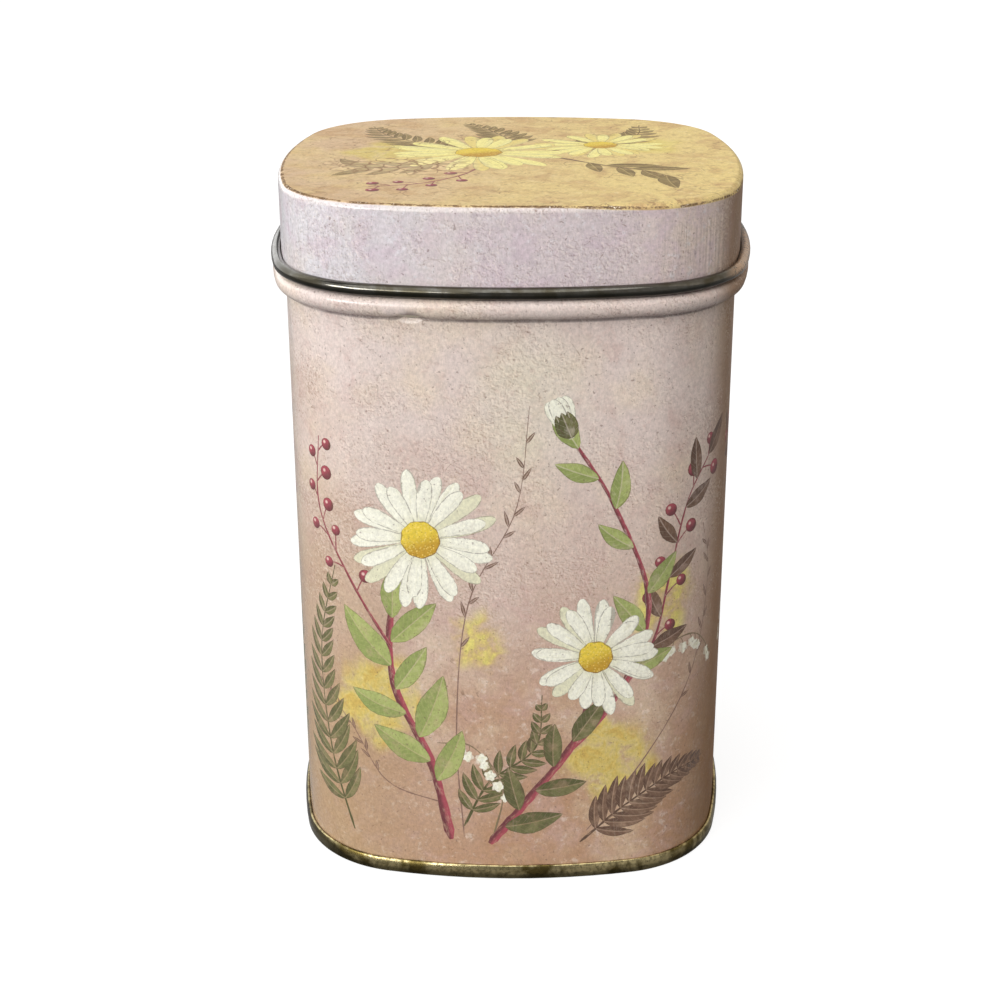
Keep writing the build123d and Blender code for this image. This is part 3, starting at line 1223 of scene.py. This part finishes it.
def lock_dent(along, walked):
    """The folded layers of the lock seam, inside."""
    half = lock_width / 2 - lock_step
    across = box_step(from_back(along), -half, half, lock_step)
    up = box_step(walked - wall_walked, lock_low + lock_step, lock_high - lock_step, lock_step)
    return (lock_layers - 1) * plate * across * up


lock_columns = [groove_start + groove_width * share for share in (0, 0.25, 0.5, 0.75, 1)]
lock_edge = lock_width / 2
lock_columns += [lock_edge - lock_step, perimeter - lock_edge, perimeter - lock_edge + lock_step]
knock_columns = [place * perimeter + step for place, _, _ in bead_knocks for step in range(-4, 5)]
BODY_UV = (0.004, 0.0041)
BODY_UV_INSIDE = (0.5, 0.0041)

body_shell = Shell(column_places(20, lock_columns + knock_columns))
body_shell.band(body_section, 0, print_first, -1, "ground", BODY_UV, groove_dent)
body_shell.band(body_section, print_last, bead_last, -1, "ground", BODY_UV, bead_dent)
body_shell.band(body_section, bead_last, body_last, -1, "tinplate", BODY_UV)
body_shell.band(body_section, 0, body_last, 1, "tinplate", BODY_UV_INSIDE, lock_dent)
body_shell.cut_edge(body_section, 0, "tinplate", 0.992)
body_shell.cut_edge(body_section, body_last, "tinplate", 0.996)

# The printed wall is cut along the motifs' outlines
levels = [print_low, *np.arange(12, 84, 9.0), print_high]
corners = [(along, z) for along in body_shell.columns for z in levels]
columns, rows = len(body_shell.columns), len(levels)
lines = [(c * rows + r, c * rows + r + 1) for c in range(columns) for r in range(rows - 1)]
lines += [(c * rows + r, (c + 1) * rows + r) for c in range(columns - 1) for r in (0, rows - 1)]
cut, faces, kinds, values = lay_print(corners, lines, body_drawing(), "ground")
around, height = cut.T
upright = [np.zeros(len(cut)), height, np.full(len(cut), math.pi / 2), height + wall_walked]
points, normals = surface(upright, around, -1, groove_dent)
spots = np.stack([around / perimeter, BODY_UV[0] + upright[3] * BODY_UV[1]], -1)
body_shell.add(points, faces, kinds, normal=normals[faces], uv=spots[faces], **values)
body_piece = body_shell.make("tin_body", materials)
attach(body_piece, "tin")
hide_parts("body")

# Lid: panel, rounded edge, skirt with draw wrinkles at its corners, and rolled lower edge
lid_moves = [
    (panel_margin, 3),
    (shoulder_radius, -90, 10),
    (lid_top - plate - shoulder_radius - lid_curl_height, 18),
    (lid_curl_radius, lid_curl_angle, 40),
]
lid_section = walk((shoulder_place - panel_margin, panel_under), 0, lid_moves)
shoulder_first, shoulder_last, skirt_last, lid_last = (parts_in(lid_moves[:i]) for i in (1, 2, 3, 4))
skirt_high_walked = lid_section[3][shoulder_last]
skirt_low_walked = lid_section[3][skirt_last]
shoulder_walked = (lid_section[3][shoulder_first] + skirt_high_walked) / 2
wrinkle_dice = random.Random(21)
wrinkle_waves = [(wrinkle_dice.uniform(0.7, 2.3), wrinkle_dice.uniform(0, 6)) for _ in range(7)]
wrinkle_height = 0.011


def wrinkle_dent(along, walked):
    """Fine upright waves where the sheet was drawn round the corners."""
    local = (along + quarter_length / 2) % quarter_length - quarter_length / 2
    from_corner = np.abs(np.abs(local) - quarter_length / 2) / (corner_length / 2)
    window = np.clip(1 - from_corner**2, 0, 1) ** 1.5
    high = np.clip((walked - skirt_high_walked) / 3, 0, 1)
    band = high * np.clip((skirt_low_walked - walked) / 1.2, 0, 1)
    band = band * band * (3 - 2 * band)
    waves = sum(np.sin(2 * math.pi * along / length + phase) for length, phase in wrinkle_waves)
    return wrinkle_height * waves * window * band


def edge_wear(along, walked):
    """Wear on the lid's rounded edge: a line that runs lower where the top's colour comes over the edge."""
    x, _, _, _ = outline_at(along, 0)
    lower = np.clip((x - 4) / 18, 0, 1)
    line = walked - shoulder_walked + 0.3 - 0.7 * lower
    return np.exp(-((line / 0.22) ** 2)) * (1 - 0.35 * lower)


def roll_painted_shade(along, walked):
    """Painted shade and dark reflection on the roll's underside, in the crevice above it and at the left
    corner.
    """
    turn = np.degrees((walked - skirt_low_walked) / lid_curl_radius)
    under = np.clip((184 - turn) / 16, 0, 1) * np.clip(turn / 30, 0, 1)
    crevice = np.clip((turn - 272) / 14, 0, 1)
    x, _, _, _ = outline_at(along, 0)
    left = np.clip((-27 - x) / 5, 0, 1)
    return np.maximum(np.maximum(0.92 * under, 0.9 * crevice), 0.5 * left)


LID_UV = (0.52, 0.0118)
LID_UV_INSIDE = (0.76, 0.0118)
lid_rim = shoulder_place - panel_margin
lid_shell = Shell(column_places(60))
lid_shell.band(lid_section, 0, skirt_last, 1, "ground", LID_UV, wrinkle_dent, edge_wear)
lid_shell.band(lid_section, skirt_last, lid_last, 1, "tinplate", LID_UV)
lid_shell.band(lid_section, 0, skirt_last, -1, "tinplate", LID_UV_INSIDE, wrinkle_dent)
lid_shell.band(lid_section, skirt_last, lid_last, -1, "roll", LID_UV_INSIDE, no_dent, roll_painted_shade)
lid_shell.cut_edge(lid_section, lid_last, "tinplate", 0.996)
lid_shell.panel(lid_rim, 1, "ground", lid_top, (0.005, 0.01), 0.49, lid_drawing())
lid_shell.panel(lid_rim, -1, "tinplate", panel_under, (0.505, 0.01), 0.49, Drawing(0))
lid_piece = lid_shell.make("tin_lid", materials)
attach(lid_piece, "lid")
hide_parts("lid")

# Base: recessed panel, chuck wall, standing ring and the outside of the double seam
base_corner = seam_floor_radius + plate
ring_width = seam_place - chuck_place - 2 * seam_floor_radius
bend_sine, bend_cosine = math.sin(math.radians(seam_bend)), math.cos(math.radians(seam_bend))
lean_sine, lean_cosine = math.sin(math.radians(seam_lean)), math.cos(math.radians(seam_lean))
leaned_in = seam_bend_radius * (1 - bend_cosine) + seam_crown_radius * (bend_cosine - lean_cosine)
leaned_up = seam_bend_radius * bend_sine + seam_crown_radius * (lean_sine - bend_sine)
seam_top_radius = (seam_place + plate - seam_gap - leaned_in) / (1 + lean_cosine)
bend_low = seam_height - seam_top_radius * (1 - lean_sine) - leaned_up
base_rim = chuck_place - base_panel_radius - panel_margin
outside_moves = [
    (panel_margin, 2),
    (base_panel_radius - plate, -90, 8),
    (base_recess - base_panel_radius + plate - base_corner, 2),
    (base_corner, 90, 6),
    (ring_width, 2),
    (base_corner, 90, 6),
    (bend_low - base_corner, 3),
    (seam_bend_radius, seam_bend, 5),
    (seam_crown_radius, seam_lean - seam_bend, 5),
    (seam_top_radius, 180 - seam_lean, 12),
    (seam_height - seam_top_radius - body_fold_height, 1),
]
inside_moves = [
    (cover_fold_height - body_fold_height, 1),
    (fold_radius, -180, 8),
    (cover_fold_height - base_corner, 1),
    (seam_floor_radius, -90, 4),
    (ring_width, 1),
    (seam_floor_radius, -90, 4),
    (base_recess + plate - base_panel_radius - base_corner, 1),
    (base_panel_radius, 90, 8),
    (panel_margin, 1),
]
outside_section = walk((base_rim, base_recess), 0, outside_moves)
inside_section = walk((layer_step, body_fold_height), 90, inside_moves)
BASE_UV = (0.505, 0.022)
BASE_UV_INSIDE = (0.77, 0.021)
base_shell = Shell(column_places(30))
base_shell.band(outside_section, 0, parts_in(outside_moves), -1, "brass", BASE_UV)
base_shell.band(inside_section, 0, parts_in(inside_moves), -1, "brass", BASE_UV_INSIDE)
base_shell.cut_edge(inside_section, 0, "brass", 0.996)
base_shell.panel(base_rim, -1, "brass", base_recess, (0.005, 0.01), 0.24, Drawing(0))
base_shell.panel(base_rim, 1, "brass", base_recess + plate, (0.255, 0.01), 0.24, Drawing(0))
base_piece = base_shell.make("tin_base", {"brass": brass})
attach(base_piece, "tin")
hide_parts("base")

# Floor, world and lamps
floor_mesh = bpy.data.meshes.new("floor")
floor_mesh.from_pydata([(-3, -3, 0), (3, -3, 0), (3, 3, 0), (-3, 3, 0)], [], [(0, 1, 2, 3)])
floor = link("floor", floor_mesh)
floor_material, floor_shader = new_material("pale_floor")
floor_shader["Base Color"].default_value = (0.2, 0.2, 0.2, 1)
floor_shader["Roughness"].default_value = 1.0
floor_shader["Specular IOR Level"].default_value = 0.0
floor_shader["Emission Color"].default_value = (1, 1, 1, 1)
seen = put(floor_material.node_tree, "ShaderNodeLightPath", (), "Is Camera Ray")
looked_at = seen.most(seen.beside("Is Glossy Ray") * 0.1)
feed(floor_shader["Emission Strength"], looked_at * 0.86)
floor_mesh.materials.append(floor_material)

world = bpy.data.worlds.new("studio")
world.use_nodes = True
bpy.context.scene.world = world
background = world.node_tree.nodes["Background"].inputs
background["Color"].default_value = (1, 1, 1, 1)

# White where it is looked at or looked through, and dim as light and in reflections
rays = put(world.node_tree, "ShaderNodeLightPath", (), "Is Camera Ray")
direct = rays.most(rays.beside("Is Transmission Ray")).most(rays.beside("Is Glossy Ray") * 0.03)
feed(background["Strength"], direct * 0.78 + 0.22)


def lamp(name, azimuth, elevation, strength, spread, colour=(1, 1, 1)):
    """A distant soft lamp. Azimuth 0 is in front of the tin and 90 on its right, in degrees."""
    data = bpy.data.lights.new(name, "SUN")
    data.energy = strength
    data.angle = math.radians(spread)
    data.color = colour
    turn = Matrix.Rotation(math.radians(azimuth), 4, "Z")
    link(name, data).matrix_world = turn @ Matrix.Rotation(math.radians(90 - elevation), 4, "X")


for azimuth, strength in ((-58, 1.0), (-40, 1.0), (-22, 0.5)):
    lamp("window", azimuth, 19, strength, 20)
lamp("left", -85, 20, 0.6, 60)
lamp("top", -20, 62, 1.25, 60)
lamp("fill", 42, 28, 0.25, 70, (1.0, 0.95, 0.9))
lamp("right", 118, 30, 0.8, 100, (1.0, 0.88, 0.74))
lamp("back", 222, 22, 1.4, 64)

bpy.context.scene.view_settings.view_transform = "Standard"
